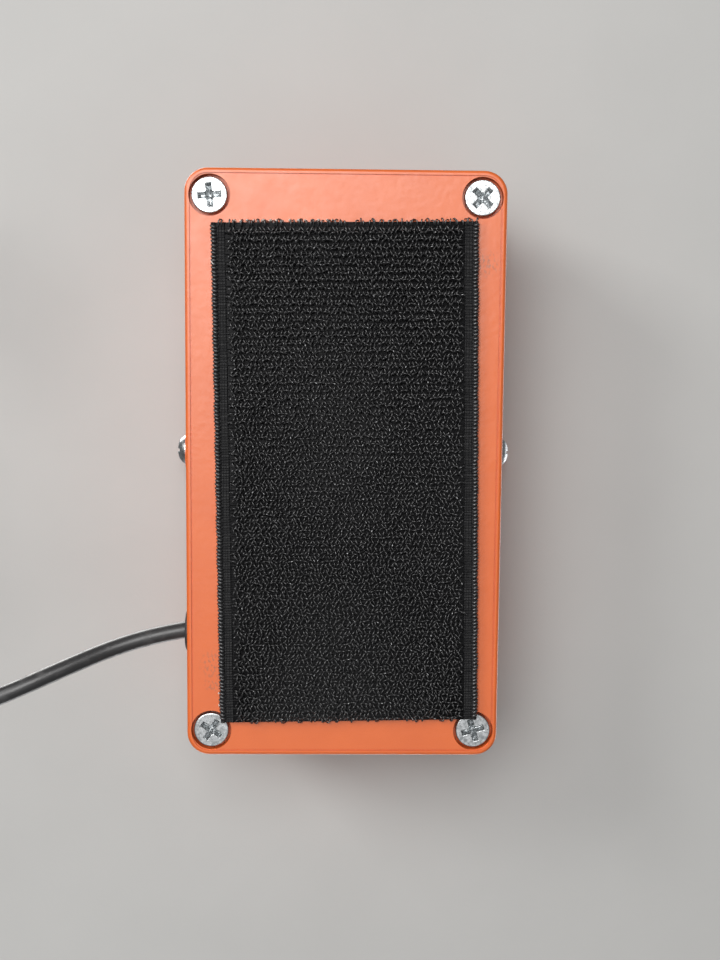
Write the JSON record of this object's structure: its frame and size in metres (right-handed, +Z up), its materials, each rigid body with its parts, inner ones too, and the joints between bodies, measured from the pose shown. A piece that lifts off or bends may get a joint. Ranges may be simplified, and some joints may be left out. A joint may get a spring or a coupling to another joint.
{
  "type": "volume pedal",
  "caption": "Small rocker volume pedal: cast base with a hook-tape sole, ribbed treadle on a cross axle geared to a potentiometer, and a fixed lead with a plug.",
  "frame": {"origin": "under the middle of the base, on the surface that the hook tape stands on", "axes": "+Z up, +Y to the toe end, +X to the player's right"},
  "size_m": [0.1605, 0.1281, 0.0414],
  "materials": {
    "orange_coat": "satin powder coat",
    "zinc_screw": "bright zinc plate",
    "hook_tape": "woven nylon with moulded hooks",
    "adhesive": "clear acrylic foam",
    "steel": "ground",
    "gear_plastic": "moulded acetal",
    "bronze": "sintered",
    "black_rubber": "matte moulded",
    "pot_metal": "drawn case",
    "phenolic": "printed track",
    "brass": "turned",
    "pvc_black": "satin PVC",
    "white_plastic": "moulded nylon",
    "wire": "PVC insulation",
    "tie_fabric": "woven hook-and-loop",
    "nickel": "nickel plate",
    "black_plastic": "moulded"
  },
  "bodies": {
    "base": {"base_housing": "orange_coat", "bottom_cover": "orange_coat", "cover_screws": "zinc_screw", "pivot_screws": "zinc_screw", "bracket_screws": "zinc_screw", "clamp_screw": "zinc_screw", "hook_tape": "hook_tape", "tape_adhesive": "adhesive", "pivot_axle": "steel", "pot_track": "phenolic", "pot_case": "pot_metal", "pot_bushing": "brass", "pot_washer": "steel", "pot_nut": "steel", "pot_terminals": "nickel", "pot_bracket": "steel", "treadle_stops": "black_rubber", "cord_grommet": "black_rubber", "cord_inner": "pvc_black", "cord_lead": "pvc_black", "cord_coil": "pvc_black", "cord_tail": "pvc_black", "cord_clamp": "white_plastic", "signal_wires": "wire", "cord_ties": "tie_fabric", "plug_boot": "black_rubber", "plug_shell": "nickel", "plug_sleeve": "nickel", "plug_ring": "nickel", "plug_tip": "nickel", "plug_insulator": "black_plastic"},
    "treadle": {"treadle_plate": "orange_coat", "tread_pad": "black_rubber", "pivot_bushes": "bronze", "thrust_washers": "white_plastic", "sector_gear": "gear_plastic", "sector_screws": "zinc_screw"},
    "pot_rotor": {"pot_shaft": "steel", "pinion": "brass", "pinion_screw": "steel", "pot_wiper": "bronze"}
  },
  "joints": [
    {"name": "treadle_rock", "type": "hinge", "parent": "base", "child": "treadle", "pos_m": [0, -0.0015, 0.029], "axis": [1, 0, 0], "range_deg": [-8.5, 8.5]},
    {"name": "pot_turn", "type": "hinge", "parent": "base", "child": "pot_rotor", "pos_m": [0, 0.02265, 0.0112], "axis": [1, 0, 0], "range_deg": [-62.4, 62.4]}
  ],
  "couplings": [
    {"joint": "pot_turn", "follows": "treadle_rock", "ratio": -7.3333}
  ]
}
